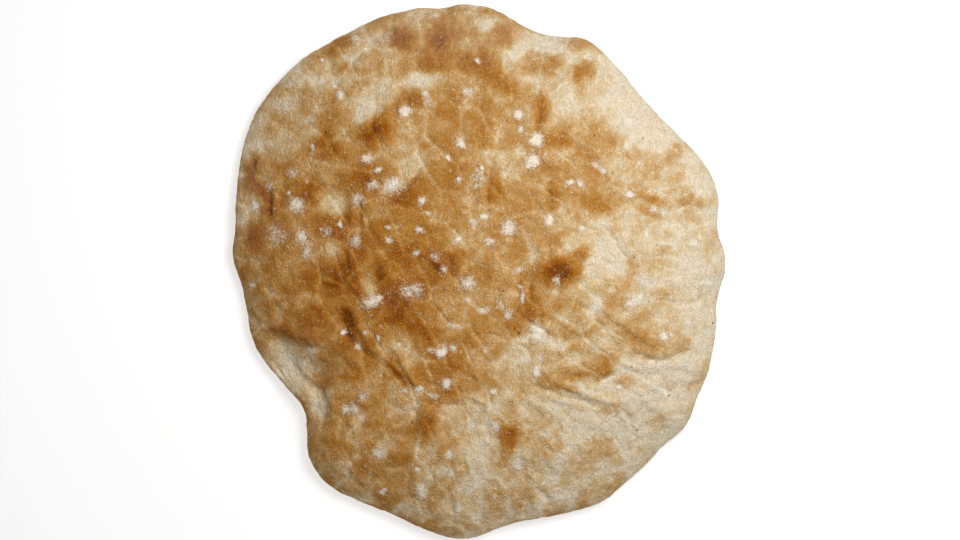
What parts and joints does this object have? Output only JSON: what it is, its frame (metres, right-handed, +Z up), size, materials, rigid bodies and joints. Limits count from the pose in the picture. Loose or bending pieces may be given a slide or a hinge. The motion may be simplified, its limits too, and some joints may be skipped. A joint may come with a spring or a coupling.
{
  "type": "pita bread",
  "caption": "Round flat pita loaf with a low wrinkled crown, a thin rolled rim with lobes and pleats, and a flat underside to rest on.",
  "frame": {"origin": "middle of the loaf's plan box, on the plane that it rests on", "axes": "+Z up out of the upper crust, +Y along the longer way across the loaf, +X along the shorter way"},
  "size_m": [0.1833, 0.1996, 0.0236],
  "materials": {
    "baked_crust": "matte baked crust, cream with toasted brown patches and dusted flour"
  },
  "bodies": {
    "root": {"pita_bread": "baked_crust"}
  },
  "joints": []
}
